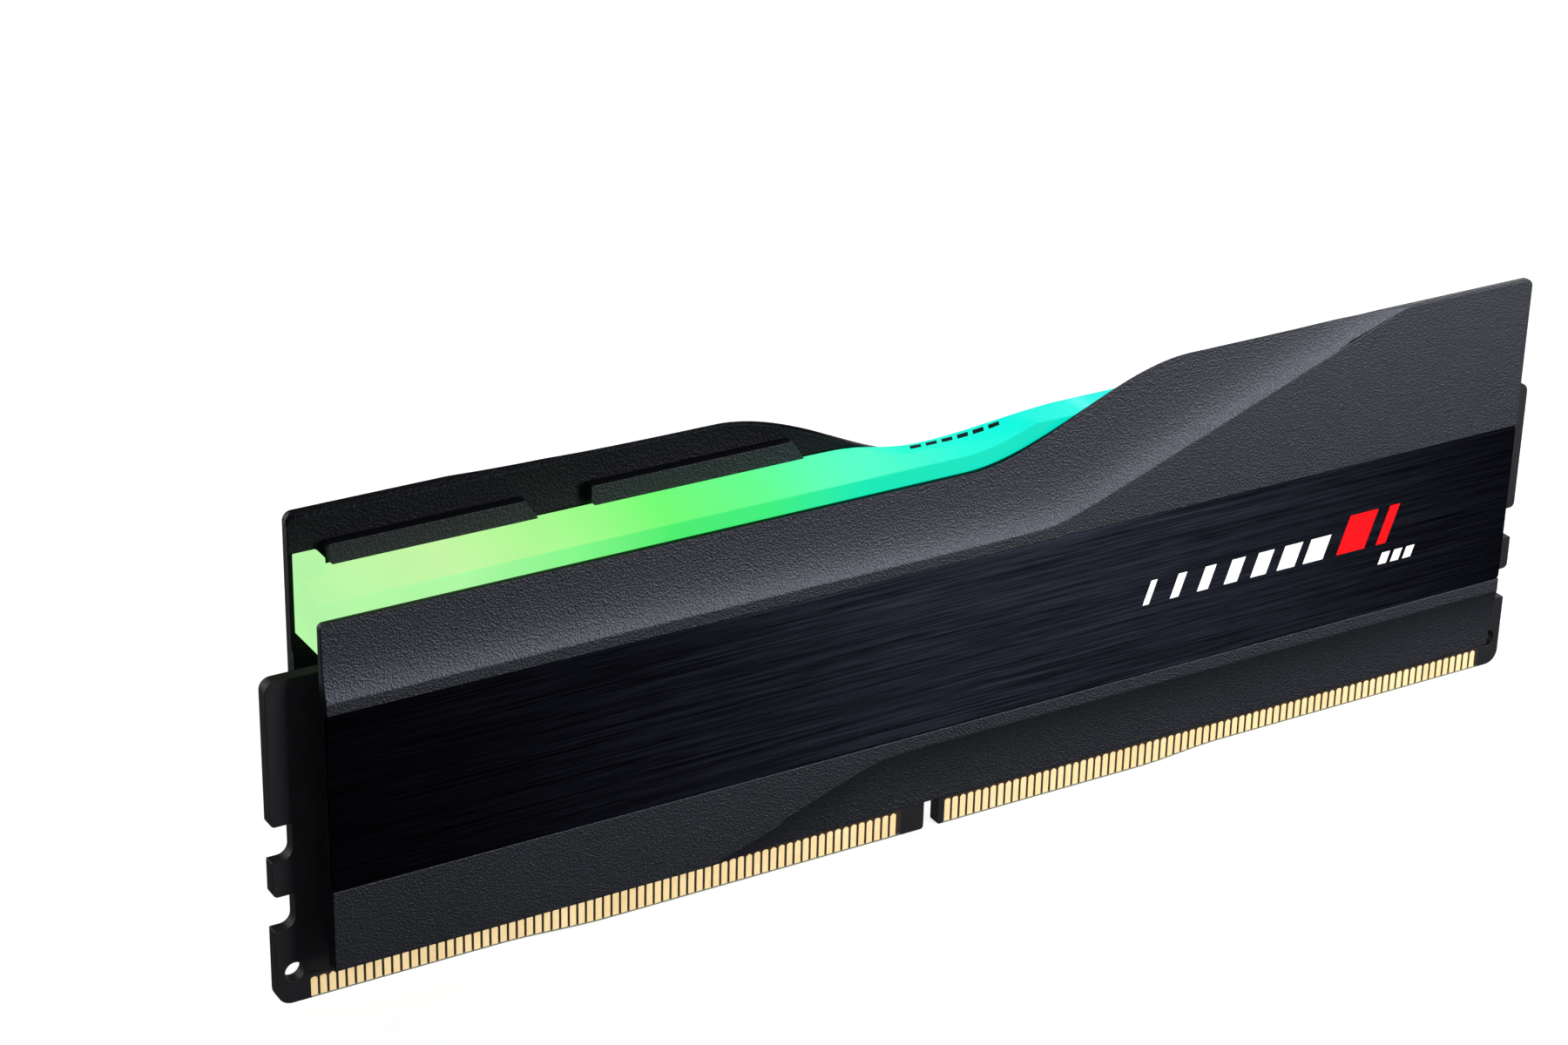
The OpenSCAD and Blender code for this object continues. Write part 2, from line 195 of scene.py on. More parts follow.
def lay_out(tree, **effects):
    """Frames each effect's nodes together and sets the frames out from left to right."""
    for column, (effect, group) in enumerate(effects.items()):
        box = tree.nodes.new("NodeFrame")
        box.label = effect.replace("_", " ")
        for row, node in enumerate(group):
            node.parent = box
            node.location = (column * 260, -row * 220)


def new_finish(name):
    """An empty node material, with its nodes and links."""
    finish = bpy.data.materials.new(name)
    finish.use_nodes = True
    finish.node_tree.nodes.clear()
    return finish, finish.node_tree.nodes, finish.node_tree.links


def coated_metal(name, low, high, grain_size, shine):
    """Fine-grained matt coating on aluminium: a pebbled grain with small specks of shine, its tone
    partly the grain's own and partly painted shade in the grain's hollows.
    """
    finish, nodes, links = new_finish(name)

    place = nodes.new("ShaderNodeTexCoord")
    place.label = "place on the spreader"
    pebbles = nodes.new("ShaderNodeTexVoronoi")
    pebbles.label = "pebbles of the coat"
    specks = nodes.new("ShaderNodeTexNoise")
    specks.label = "finer specks between them"
    drift = nodes.new("ShaderNodeTexNoise")
    drift.label = "slow change of shade"
    height = nodes.new("ShaderNodeMath")
    height.label = "pebbles and specks together"
    bump = nodes.new("ShaderNodeBump")
    bump.label = "relief of the coat"
    shade = nodes.new("ShaderNodeMix")
    shade.label = "dark hollows, lighter tops"
    blend = nodes.new("ShaderNodeMath")
    blend.label = "grain and drift together"
    rough = nodes.new("ShaderNodeMapRange")
    rough.label = "gloss of the coat"
    coat = nodes.new("ShaderNodeBsdfPrincipled")
    coat.label = "coat"
    out = nodes.new("ShaderNodeOutputMaterial")
    lay_out(finish.node_tree, place=(place,), grain=(pebbles, specks, drift),
            relief=(height, bump), tone=(blend, shade, rough), surface=(coat, out))

    pebbles.feature = "SMOOTH_F1"
    pebbles.inputs["Scale"].default_value = 1 / (grain_size * MM)
    pebbles.inputs["Smoothness"].default_value = 0.6
    specks.inputs["Scale"].default_value = 2.6 / (grain_size * MM)
    specks.inputs["Detail"].default_value = 3.0
    specks.inputs["Roughness"].default_value = 0.65
    drift.inputs["Scale"].default_value = 60.0
    height.operation = "MULTIPLY_ADD"
    height.inputs[1].default_value = 0.45
    bump.inputs["Strength"].default_value = 1.0
    bump.inputs["Distance"].default_value = 0.042 * MM
    shade.data_type = "RGBA"
    shade.inputs["A"].default_value = (*low, 1)
    shade.inputs["B"].default_value = (*high, 1)
    blend.operation = "MULTIPLY"
    rough.inputs["To Min"].default_value = 0.36
    rough.inputs["To Max"].default_value = 0.56
    coat.inputs["Specular IOR Level"].default_value = shine
    coat.inputs["Specular Tint"].default_value = (0.80, 0.84, 1.0, 1)

    links.new(place.outputs["Object"], pebbles.inputs["Vector"])
    links.new(place.outputs["Object"], specks.inputs["Vector"])
    links.new(place.outputs["Object"], drift.inputs["Vector"])
    links.new(specks.outputs["Fac"], height.inputs[0])
    links.new(pebbles.outputs["Distance"], height.inputs[2])
    links.new(height.outputs["Value"], bump.inputs["Height"])
    # The coat's grain tone, darker in the grain's hollows and lighter on its tops as painted
    # shade.
    links.new(specks.outputs["Fac"], blend.inputs[0])
    links.new(drift.outputs["Fac"], blend.inputs[1])
    links.new(blend.outputs["Value"], shade.inputs["Factor"])
    links.new(specks.outputs["Fac"], rough.inputs["Value"])
    links.new(shade.outputs["Result"], coat.inputs["Base Color"])
    links.new(rough.outputs["Result"], coat.inputs["Roughness"])
    links.new(bump.outputs["Normal"], coat.inputs["Normal"])
    links.new(coat.outputs["BSDF"], out.inputs["Surface"])
    return finish


def brushed_metal(name, low, high):
    """Anodised aluminium brushed lengthwise: long fine streaks of shade, gloss and relief."""
    finish, nodes, links = new_finish(name)

    place = nodes.new("ShaderNodeTexCoord")
    place.label = "place on the panel"
    long_way = nodes.new("ShaderNodeMapping")
    long_way.label = "stretched along the brushing"
    short_way = nodes.new("ShaderNodeMapping")
    short_way.label = "shorter scratches"
    streaks = nodes.new("ShaderNodeTexNoise")
    streaks.label = "long brush streaks"
    scratches = nodes.new("ShaderNodeTexNoise")
    scratches.label = "short scratches"
    both = nodes.new("ShaderNodeMath")
    both.label = "streaks and scratches"
    tone = nodes.new("ShaderNodeMapRange")
    tone.label = "contrast of the streaks"
    shade = nodes.new("ShaderNodeMix")
    shade.label = "navy black to slate"
    rough = nodes.new("ShaderNodeMapRange")
    rough.label = "gloss along the streaks"
    bump = nodes.new("ShaderNodeBump")
    bump.label = "brushed relief"
    across = nodes.new("ShaderNodeTangent")
    across.label = "across the brushing, where the gloss spreads"
    metal = nodes.new("ShaderNodeBsdfPrincipled")
    metal.label = "anodised metal"
    out = nodes.new("ShaderNodeOutputMaterial")
    lay_out(finish.node_tree, place=(place, long_way, short_way),
            brushing=(streaks, scratches, both), tone=(tone, shade, rough),
            relief=(bump, across), surface=(metal, out))

    long_way.inputs["Scale"].default_value = (50, 50, 5000)
    short_way.inputs["Location"].default_value = (3.1, 0, 7.7)
    short_way.inputs["Scale"].default_value = (210, 210, 8200)
    streaks.inputs["Scale"].default_value = 1.0
    streaks.inputs["Detail"].default_value = 4.0
    streaks.inputs["Roughness"].default_value = 0.6
    scratches.inputs["Scale"].default_value = 1.0
    both.operation = "MULTIPLY_ADD"
    both.inputs[1].default_value = 0.5
    tone.inputs["From Min"].default_value = 0.58
    tone.inputs["From Max"].default_value = 0.92
    shade.data_type = "RGBA"
    shade.inputs["A"].default_value = (*low, 1)
    shade.inputs["B"].default_value = (*high, 1)
    rough.inputs["From Min"].default_value = 0.45
    rough.inputs["From Max"].default_value = 1.05
    rough.inputs["To Min"].default_value = 0.27
    rough.inputs["To Max"].default_value = 0.37
    bump.inputs["Strength"].default_value = 0.3
    bump.inputs["Distance"].default_value = 0.012 * MM
    across.direction_type = "UV_MAP"
    across.uv_map = "brushing"
    metal.inputs["Metallic"].default_value = 1.0
    metal.inputs["Specular Tint"].default_value = (0.72, 0.78, 1.0, 1)
    metal.inputs["Anisotropic"].default_value = 0.88

    links.new(place.outputs["Object"], long_way.inputs["Vector"])
    links.new(place.outputs["Object"], short_way.inputs["Vector"])
    links.new(long_way.outputs["Vector"], streaks.inputs["Vector"])
    links.new(short_way.outputs["Vector"], scratches.inputs["Vector"])
    links.new(scratches.outputs["Fac"], both.inputs[0])
    links.new(streaks.outputs["Fac"], both.inputs[2])
    links.new(both.outputs["Value"], tone.inputs["Value"])
    links.new(both.outputs["Value"], rough.inputs["Value"])
    links.new(both.outputs["Value"], bump.inputs["Height"])
    links.new(tone.outputs["Result"], shade.inputs["Factor"])
    links.new(shade.outputs["Result"], metal.inputs["Base Color"])
    links.new(rough.outputs["Result"], metal.inputs["Roughness"])
    links.new(bump.outputs["Normal"], metal.inputs["Normal"])
    links.new(across.outputs["Tangent"], metal.inputs["Tangent"])
    links.new(metal.outputs["BSDF"], out.inputs["Surface"])
    return finish


def moulded(name, low, high, gloss, grain_size, relief, metallic=0.0, sheen=0.0, shine=0.4):
    """A plain body with a fine grain: epoxy, ceramic, rubber, ink or paper, or bare metal."""
    finish, nodes, links = new_finish(name)

    place = nodes.new("ShaderNodeTexCoord")
    place.label = "place on the part"
    grain = nodes.new("ShaderNodeTexNoise")
    grain.label = "fine grain"
    patches = nodes.new("ShaderNodeTexNoise")
    patches.label = "slow patches"
    mottle = nodes.new("ShaderNodeMath")
    mottle.label = "grain and patches"
    tone = nodes.new("ShaderNodeMapRange")
    tone.label = "contrast"
    shade = nodes.new("ShaderNodeMix")
    shade.label = "body colour"
    rough = nodes.new("ShaderNodeMapRange")
    rough.label = "gloss"
    bump = nodes.new("ShaderNodeBump")
    bump.label = "grain relief"
    body = nodes.new("ShaderNodeBsdfPrincipled")
    body.label = "body"
    out = nodes.new("ShaderNodeOutputMaterial")
    lay_out(finish.node_tree, place=(place,), grain=(grain, patches, mottle),
            tone=(tone, shade, rough), relief=(bump,), surface=(body, out))

    grain.inputs["Scale"].default_value = 1 / (grain_size * MM)
    grain.inputs["Detail"].default_value = 4.0
    grain.inputs["Roughness"].default_value = 0.6
    patches.inputs["Scale"].default_value = 0.12 / (grain_size * MM)
    mottle.operation = "MULTIPLY_ADD"
    mottle.inputs[1].default_value = 0.6
    tone.inputs["From Min"].default_value = 0.4
    tone.inputs["From Max"].default_value = 1.2
    shade.data_type = "RGBA"
    shade.inputs["A"].default_value = (*low, 1)
    shade.inputs["B"].default_value = (*high, 1)
    rough.inputs["To Min"].default_value = gloss - 0.06
    rough.inputs["To Max"].default_value = gloss + 0.1
    bump.inputs["Strength"].default_value = 0.6
    bump.inputs["Distance"].default_value = relief * MM
    body.inputs["Metallic"].default_value = metallic
    body.inputs["Specular IOR Level"].default_value = shine
    body.inputs["Sheen Weight"].default_value = sheen

    links.new(place.outputs["Object"], grain.inputs["Vector"])
    links.new(place.outputs["Object"], patches.inputs["Vector"])
    links.new(grain.outputs["Fac"], mottle.inputs[0])
    links.new(patches.outputs["Fac"], mottle.inputs[2])
    links.new(mottle.outputs["Value"], tone.inputs["Value"])
    links.new(tone.outputs["Result"], shade.inputs["Factor"])
    links.new(grain.outputs["Fac"], rough.inputs["Value"])
    links.new(grain.outputs["Fac"], bump.inputs["Height"])
    links.new(shade.outputs["Result"], body.inputs["Base Color"])
    links.new(rough.outputs["Result"], body.inputs["Roughness"])
    links.new(bump.outputs["Normal"], body.inputs["Normal"])
    links.new(body.outputs["BSDF"], out.inputs["Surface"])
    return finish


def solder_mask():
    """Black solder mask, with brown bare laminate between and around the contacts."""
    finish, nodes, links = new_finish("black_solder_mask")

    place = nodes.new("ShaderNodeTexCoord")
    place.label = "place on the board"
    split = nodes.new("ShaderNodeSeparateXYZ")
    split.label = "along, through and up"
    bare = nodes.new("ShaderNodeMapRange")
    bare.label = "bare below the mask's edge"
    along = nodes.new("ShaderNodeMapRange")
    along.label = "from end to end"
    rows = nodes.new("ShaderNodeValToRGB")
    rows.label = "one opening for each row of contacts"
    opening = nodes.new("ShaderNodeMath")
    opening.label = "opening in the mask"
    edge = nodes.new("ShaderNodeValToRGB")
    edge.label = "steps of the card edge"
    lift = nodes.new("ShaderNodeMath")
    lift.label = "height above the card edge"
    foot = nodes.new("ShaderNodeMapRange")
    foot.label = "ground edge under the contacts"
    laminate = nodes.new("ShaderNodeMix")
    laminate.label = "brown, or olive where it is ground"
    weave = nodes.new("ShaderNodeTexNoise")
    weave.label = "faint mottle of the mask"
    mask = nodes.new("ShaderNodeMix")
    mask.label = "mask colour"
    colour = nodes.new("ShaderNodeMix")
    colour.label = "mask or bare laminate"
    bump = nodes.new("ShaderNodeBump")
    bump.label = "orange peel of the mask"
    skin = nodes.new("ShaderNodeBsdfPrincipled")
    skin.label = "mask"
    out = nodes.new("ShaderNodeOutputMaterial")
    lay_out(finish.node_tree, place=(place, split), opening=(along, rows, bare, opening),
            card_edge=(edge, lift, foot, laminate), tone=(weave, mask, colour),
            relief=(bump,), surface=(skin, out))

    bare.inputs["From Min"].default_value = MASK_EDGE[0] * MM
    bare.inputs["From Max"].default_value = MASK_EDGE[1] * MM
    along.inputs["From Min"].default_value = -HALF_LENGTH * MM
    along.inputs["From Max"].default_value = HALF_LENGTH * MM
    rows.color_ramp.interpolation = "CONSTANT"
    while len(rows.color_ramp.elements) < len(MASK_OPENINGS) + 1:
        rows.color_ramp.elements.new(0.5)
    for place_in_row, (element, x) in enumerate(zip(rows.color_ramp.elements,
                                                    (-HALF_LENGTH,) + MASK_OPENINGS)):
        element.position = (x + HALF_LENGTH) / (2 * HALF_LENGTH)
        element.color = (1, 1, 1, 1) if place_in_row % 2 else (0, 0, 0, 1)
    opening.operation = "MULTIPLY"
    edge.color_ramp.interpolation = "EASE"
    steps = ((LEFT_BLEND[1], 1), (LEFT_BLEND[0], 0), (RIGHT_BLEND[0], 0), (RIGHT_BLEND[1], 1))
    while len(edge.color_ramp.elements) < len(steps):
        edge.color_ramp.elements.new(0.5)
    for element, (x, step) in zip(edge.color_ramp.elements, steps):
        element.position = (x + HALF_LENGTH) / (2 * HALF_LENGTH)
        element.color = (step, step, step, 1)
    lift.operation = "MULTIPLY_ADD"
    lift.inputs[1].default_value = -EDGE_STEP * MM
    foot.inputs["From Min"].default_value = GROUND_EDGE[0] * MM
    foot.inputs["From Max"].default_value = GROUND_EDGE[1] * MM
    laminate.data_type = "RGBA"
    laminate.inputs["A"].default_value = (0.022, 0.011, 0.006, 1)
    laminate.inputs["B"].default_value = (0.13, 0.14, 0.10, 1)
    weave.inputs["Scale"].default_value = 900.0
    weave.inputs["Detail"].default_value = 3.0
    mask.data_type = "RGBA"
    mask.inputs["A"].default_value = (0.0025, 0.0026, 0.0035, 1)
    mask.inputs["B"].default_value = (0.006, 0.006, 0.008, 1)
    colour.data_type = "RGBA"
    bump.inputs["Strength"].default_value = 0.35
    bump.inputs["Distance"].default_value = 0.01 * MM
    skin.inputs["Roughness"].default_value = 0.42
    skin.inputs["Specular IOR Level"].default_value = 0.45

    links.new(place.outputs["Object"], split.inputs["Vector"])
    links.new(split.outputs["Z"], bare.inputs["Value"])
    links.new(split.outputs["X"], along.inputs["Value"])
    links.new(along.outputs["Result"], rows.inputs["Fac"])
    links.new(bare.outputs["Result"], opening.inputs[0])
    links.new(rows.outputs["Color"], opening.inputs[1])
    links.new(along.outputs["Result"], edge.inputs["Fac"])
    links.new(edge.outputs["Color"], lift.inputs[0])
    links.new(split.outputs["Z"], lift.inputs[2])
    links.new(lift.outputs["Value"], foot.inputs["Value"])
    links.new(foot.outputs["Result"], laminate.inputs["Factor"])
    links.new(laminate.outputs["Result"], colour.inputs["B"])
    links.new(place.outputs["Object"], weave.inputs["Vector"])
    links.new(weave.outputs["Fac"], mask.inputs["Factor"])
    links.new(mask.outputs["Result"], colour.inputs["A"])
    links.new(opening.outputs["Value"], colour.inputs["Factor"])
    links.new(weave.outputs["Fac"], bump.inputs["Height"])
    links.new(colour.outputs["Result"], skin.inputs["Base Color"])
    links.new(bump.outputs["Normal"], skin.inputs["Normal"])
    links.new(skin.outputs["BSDF"], out.inputs["Surface"])
    return finish


# The light's colours at these places along the bar; the side colours are painted darker than the
# top ones as painted facet shading.
LIGHT_STOPS = (-62, -50, -40, -30, -20, -11, 0, 14, 40, 62)
TOP_LIGHT = ((0.49, 0.93, 0.39), (0.57, 0.94, 0.38), (0.40, 0.96, 0.28), (0.18, 0.98, 0.18),
             (0.13, 0.98, 0.29), (0.10, 1.0, 0.57), (0.02, 0.96, 0.72), (0.0, 0.93, 0.78),
             (0.0, 0.72, 0.90), (0.02, 0.55, 0.95))
SIDE_LIGHT_WITH_PAINTED_SHADE = ((0.46, 0.92, 0.38), (0.43, 0.95, 0.37), (0.24, 0.91, 0.25), (0.07, 0.86, 0.15),
              (0.04, 0.85, 0.20), (0.0, 0.80, 0.44), (0.0, 0.76, 0.52), (0.0, 0.78, 0.60),
              (0.0, 0.56, 0.76), (0.0, 0.40, 0.80))


def lit_diffuser(name, tint):
    """Translucent moulding lit from inside: the light's colour runs from end to end, with painted
    shade that makes the sides darker than the top.
    """
    finish, nodes, links = new_finish(name)

    place = nodes.new("ShaderNodeTexCoord")
    place.label = "place on the bar"
    split = nodes.new("ShaderNodeSeparateXYZ")
    split.label = "along the bar"
    along = nodes.new("ShaderNodeMapRange")
    along.label = "from the left end to the right"
    top = nodes.new("ShaderNodeValToRGB")
    top.label = "light through the top"
    side = nodes.new("ShaderNodeValToRGB")
    side.label = "light through the sides"
    facing = nodes.new("ShaderNodeNewGeometry")
    facing.label = "which way the face looks"
    upward = nodes.new("ShaderNodeSeparateXYZ")
    upward.label = "upward part"
    top_mask_for_painted_shade = nodes.new("ShaderNodeMapRange")
    top_mask_for_painted_shade.label = "top faces"
    light = nodes.new("ShaderNodeMix")
    light.label = "top or side light"
    haze = nodes.new("ShaderNodeTexNoise")
    haze.label = "haze in the moulding"
    level = nodes.new("ShaderNodeMapRange")
    level.label = "brightness through the haze"
    frost = nodes.new("ShaderNodeTexNoise")
    frost.label = "frosted surface"
    bump = nodes.new("ShaderNodeBump")
    bump.label = "frosted relief"
    body = nodes.new("ShaderNodeBsdfPrincipled")
    body.label = "diffuser"
    out = nodes.new("ShaderNodeOutputMaterial")
    lay_out(finish.node_tree, place=(place, split, along), colour_run=(top, side),
            facets=(facing, upward, top_mask_for_painted_shade, light), haze=(haze, level),
            frost=(frost, bump), surface=(body, out))

    along.inputs["From Min"].default_value = -BAR_END * MM
    along.inputs["From Max"].default_value = BAR_END * MM
    for ramp, colours in ((top, TOP_LIGHT), (side, SIDE_LIGHT_WITH_PAINTED_SHADE)):
        while len(ramp.color_ramp.elements) < len(LIGHT_STOPS):
            ramp.color_ramp.elements.new(0.5)
        for element, x, colour in zip(ramp.color_ramp.elements, LIGHT_STOPS, colours):
            element.position = (x + BAR_END) / (2 * BAR_END)
            element.color = (*(part * share for part, share in zip(colour, tint)), 1)
    top_mask_for_painted_shade.inputs["From Min"].default_value = 0.35
    top_mask_for_painted_shade.inputs["From Max"].default_value = 0.93
    light.data_type = "RGBA"
    haze.inputs["Scale"].default_value = 90.0
    level.inputs["To Min"].default_value = 0.9
    level.inputs["To Max"].default_value = 1.08
    frost.inputs["Scale"].default_value = 5200.0
    bump.inputs["Strength"].default_value = 0.2
    bump.inputs["Distance"].default_value = 0.008 * MM
    body.inputs["Base Color"].default_value = (0.004, 0.012, 0.010, 1)
    body.inputs["Roughness"].default_value = 0.5
    body.inputs["Specular IOR Level"].default_value = 0.03

    links.new(place.outputs["Object"], split.inputs["Vector"])
    links.new(split.outputs["X"], along.inputs["Value"])
    links.new(along.outputs["Result"], top.inputs["Fac"])
    links.new(along.outputs["Result"], side.inputs["Fac"])
    # Faces that look up take the top colours and the rest take the darker side colours: painted
    # facet shading.
    links.new(facing.outputs["Normal"], upward.inputs["Vector"])
    links.new(upward.outputs["Z"], top_mask_for_painted_shade.inputs["Value"])
    links.new(top_mask_for_painted_shade.outputs["Result"], light.inputs["Factor"])
    links.new(side.outputs["Color"], light.inputs["A"])
    links.new(top.outputs["Color"], light.inputs["B"])
    links.new(place.outputs["Object"], haze.inputs["Vector"])
    links.new(haze.outputs["Fac"], level.inputs["Value"])
    links.new(place.outputs["Object"], frost.inputs["Vector"])
    links.new(frost.outputs["Fac"], bump.inputs["Height"])
    links.new(light.outputs["Result"], body.inputs["Emission Color"])
    links.new(level.outputs["Result"], body.inputs["Emission Strength"])
    links.new(bump.outputs["Normal"], body.inputs["Normal"])
    links.new(body.outputs["BSDF"], out.inputs["Surface"])
    return finish


# A darker, less glossy copy of the charcoal coat for the spreaders' rims and inner faces: painted
# shade where they lie in shade.
COAT_WITH_PAINTED_SHADE = coated_metal("charcoal_coat_with_painted_shade", (0.0005, 0.0005, 0.0007), (0.0035, 0.0038, 0.0045),
                    0.22, 0.1)
COAT = coated_metal("charcoal_coat", (0.0010, 0.0011, 0.0015), (0.0042, 0.0046, 0.0062), 0.18, 0.6)
BRUSHED = brushed_metal("brushed_navy_black", (0.0033, 0.0036, 0.0054), (0.0104, 0.0114, 0.0172))
RIB_COAT = coated_metal("rib_coat", (0.0008, 0.0009, 0.0013), (0.004, 0.0045, 0.006), 0.2, 0.3)
MASK = solder_mask()
LAMINATE = moulded("board_core", (0.003, 0.003, 0.0025), (0.011, 0.011, 0.009), 0.6, 0.3, 0.02,
                   shine=0.15)
GOLD = moulded("contact_gold", (0.80, 0.585, 0.28), (0.95, 0.75, 0.42), 0.42, 0.5, 0.004,
               metallic=0.3)
TIN = moulded("tinned_ends", (0.42, 0.42, 0.42), (0.7, 0.7, 0.69), 0.35, 0.2, 0.006,
              metallic=1.0)
EPOXY = moulded("chip_epoxy", (0.008, 0.008, 0.009), (0.03, 0.03, 0.031), 0.55, 0.12, 0.01)
SUBSTRATE = moulded("chip_substrate", (0.006, 0.03, 0.016), (0.016, 0.06, 0.03), 0.4, 0.4, 0.01)
FERRITE = moulded("pressed_metal_powder", (0.05, 0.05, 0.052), (0.16, 0.16, 0.165), 0.7, 0.1,
                  0.03)
CERAMIC = moulded("fired_ceramic", (0.22, 0.13, 0.07), (0.42, 0.28, 0.17), 0.42, 0.15, 0.006)
GLAZE = moulded("black_glaze", (0.006, 0.006, 0.007), (0.02, 0.02, 0.021), 0.3, 0.2, 0.006)
SILICONE = moulded("silicone_pad", (0.16, 0.21, 0.28), (0.30, 0.37, 0.46), 0.75, 0.35, 0.03,
                   sheen=0.2)
TAPE = moulded("acrylic_tape", (0.5, 0.5, 0.48), (0.72, 0.72, 0.7), 0.65, 0.25, 0.015)
LENS = moulded("led_lens", (0.62, 0.6, 0.42), (0.9, 0.88, 0.7), 0.25, 0.3, 0.004)
HOUSING = moulded("led_housing", (0.68, 0.68, 0.66), (0.86, 0.86, 0.85), 0.45, 0.2, 0.008)
WHITE_INK = moulded("white_ink", (0.74, 0.74, 0.73), (0.92, 0.92, 0.92), 0.5, 0.2, 0.006)
RED_INK = moulded("red_ink", (0.55, 0.0005, 0.002), (0.74, 0.001, 0.004), 0.6, 0.2, 0.006,
                  shine=0.06)
BLACK_INK = moulded("black_ink", (0.001, 0.004, 0.0035), (0.004, 0.010, 0.009), 0.6, 0.2, 0.004,
                   shine=0.05)
SILVER_FILM = moulded("silver_film", (0.5, 0.51, 0.53), (0.68, 0.69, 0.71), 0.4, 0.5, 0.004,
                      metallic=0.6)
DIFFUSER = lit_diffuser("lit_diffuser", (1, 1, 1))
# The same diffuser with most of its red taken out: painted deeper shade for the facet behind the
# crease.
DIFFUSER_PAINTED_DEEPER = lit_diffuser("lit_diffuser_scooped_facet_painted_deeper", (0.1, 1, 1))


# ---------------------------------------------------------------- ways of making a piece

def finish_piece(name, mesh, finishes, nodes=()):
    """Turns a bmesh in millimetres into a piece that rides on the module."""
    bmesh.ops.scale(mesh, vec=(MM, MM, MM), verts=mesh.verts)
    bmesh.ops.recalc_face_normals(mesh, faces=mesh.faces)
    data = bpy.data.meshes.new(name)
    mesh.to_mesh(data)
    mesh.free()
    for finish in finishes:
        data.materials.append(finish)
    piece = bpy.data.objects.new(name, data)
    bpy.context.scene.collection.objects.link(piece)
    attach(piece, "root")
    if nodes:
        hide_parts(*nodes)
    return piece


def round_edges(piece, width, segments=2, angle=40, by_weight=False):
    """Rounds a piece's sharp edges with a live bevel and shades the rest smooth."""
    for face in piece.data.polygons:
        face.use_smooth = True
    bevel = piece.modifiers.new("rounded edges", "BEVEL")
    bevel.width = width * MM
    bevel.segments = segments
    bevel.use_clamp_overlap = not by_weight
    bevel.harden_normals = True
    if by_weight:
        bevel.limit_method = "WEIGHT"
    else:
        bevel.limit_method = "ANGLE"
        bevel.angle_limit = math.radians(angle)
    return piece


def half_turned(mesh):
    """The same shape turned half round about the vertical, for the rear of the module."""
    bmesh.ops.rotate(mesh, cent=(0, 0, 0), matrix=Matrix.Rotation(math.pi, 3, "Z"),
                     verts=mesh.verts)
    return mesh


def loft(mesh, stations, ring_at, weights_at, end_weight, inside=()):
    """Adds a closed skin through one ring of (y, z) points at each station along X.

    The faces that start at the ring points listed in inside take the second finish.
    """
    edge_weight = mesh.edges.layers.float.get("bevel_weight_edge")
    if edge_weight is None:
        edge_weight = mesh.edges.layers.float.new("bevel_weight_edge")
    rings = [[mesh.verts.new((x, y, z)) for y, z in ring_at(x)] for x in stations]
    count = len(rings[0])
    for near, far in zip(rings, rings[1:]):
        for i in range(count):
            j = (i + 1) % count
            skin = mesh.faces.new((near[i], far[i], far[j], near[j]))
            skin.material_index = int(i in inside)
    mesh.faces.new(rings[0])
    mesh.faces.new(list(reversed(rings[-1])))
    for near, far, x in zip(rings, rings[1:], stations):
        for i, weight in enumerate(weights_at(x)):
            edge = mesh.edges.get((near[i], far[i]))
            edge[edge_weight] = max(0.0, weight)
            edge.smooth = weight >= 0
    for ring in (rings[0], rings[-1]):
        for i in range(count):
            mesh.edges.get((ring[i], ring[(i + 1) % count]))[edge_weight] = end_weight
    return mesh


def prism(mesh, outline, y0, y1, weight=0.0):
    """Adds a flat outline of (x, z) points, made solid from y0 to y1."""
    front = [mesh.verts.new((x, y0, z)) for x, z in outline]
    rear = [mesh.verts.new((x, y1, z)) for x, z in outline]
    faces = [mesh.faces.new(front), mesh.faces.new(list(reversed(rear)))]
    for i in range(len(outline)):
        j = (i + 1) % len(outline)
        faces.append(mesh.faces.new((front[j], front[i], rear[i], rear[j])))
    if weight:
        edge_weight = mesh.edges.layers.float.get("bevel_weight_edge")
        for face in faces:
            for edge in face.edges:
                edge[edge_weight] = weight
    return faces


def block(mesh, low, high, material=0):
    """Adds a box between two corners."""
    outline = ((low[0], low[2]), (high[0], low[2]), (high[0], high[2]), (low[0], high[2]))
    for face in prism(mesh, outline, low[1], high[1]):
        face.material_index = material


def solids_of(node):
    """The boxes of a node's separate solids, in millimetres, from left to right."""
    copy = bmesh.new()
    copy.from_mesh(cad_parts[node].data)
    bmesh.ops.remove_doubles(copy, verts=copy.verts, dist=0.001 * MM)
    boxes, seen = [], set()
    for start in copy.verts:
        if start in seen:
            continue
        seen.add(start)
        island, ahead = [], [start]
        while ahead:
            vert = ahead.pop()
            island.append(vert.co / MM)
            for edge in vert.link_edges:
                other = edge.other_vert(vert)
                if other not in seen:
                    seen.add(other)
                    ahead.append(other)
        boxes.append((Vector(map(min, zip(*island))), Vector(map(max, zip(*island)))))
    copy.free()
    return sorted(boxes, key=lambda box: (round(box[0].x, 3), round(box[0].z, 3)))


# ---------------------------------------------------------------- circuit board

def card_edge(x):
    """Height of the card edge, stepped up towards both ends."""
    return EDGE_STEP * (between(x, LEFT_BLEND) + between(x, RIGHT_BLEND))


